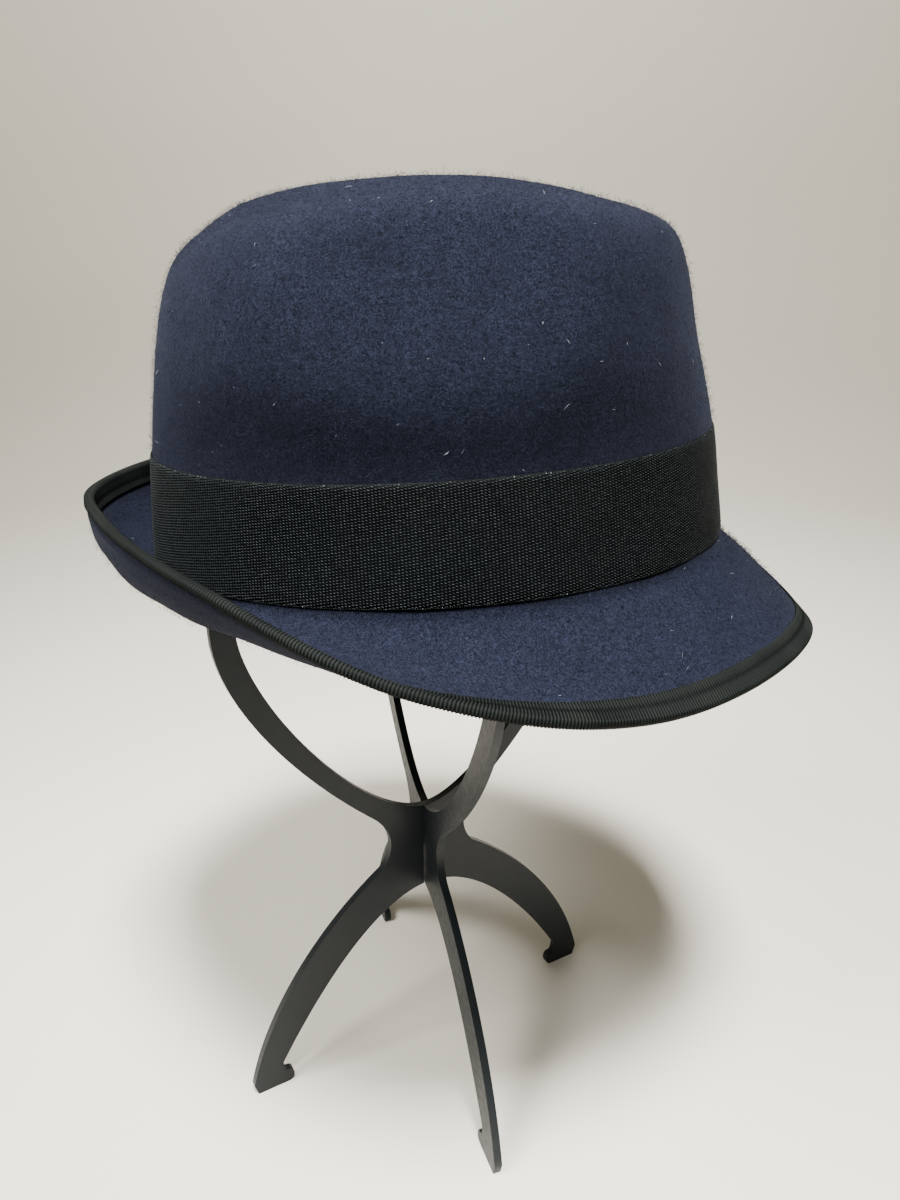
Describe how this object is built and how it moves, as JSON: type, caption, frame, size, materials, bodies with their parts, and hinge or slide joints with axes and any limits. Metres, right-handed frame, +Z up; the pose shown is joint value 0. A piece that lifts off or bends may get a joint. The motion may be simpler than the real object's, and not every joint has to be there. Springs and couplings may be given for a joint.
{
  "type": "felt trilby hat on a slotted plate hat stand",
  "caption": "Felt trilby with a creased, pinched crown, a wide ribbon band and a bound brim turned up at the back, resting on a knock-down stand of crossing slotted plates.",
  "frame": {"origin": "floor under the middle of the whole object's bounding box", "axes": "+Z up, -Y towards the front of the hat, -X towards the wearer's right"},
  "size_m": [0.2416, 0.2598, 0.3526],
  "materials": {
    "navy_felt": "brushed wool felt, navy",
    "black_ribbon": "woven ribbon, black",
    "black_grosgrain": "ribbed ribbon, black",
    "charcoal_plastic": "moulded plastic, charcoal, slight sheen"
  },
  "bodies": {
    "root": {"felt_body": "navy_felt", "hat_band": "black_ribbon", "brim_binding": "black_grosgrain", "stand_plate_a": "charcoal_plastic", "stand_plate_b": "charcoal_plastic"}
  },
  "joints": []
}
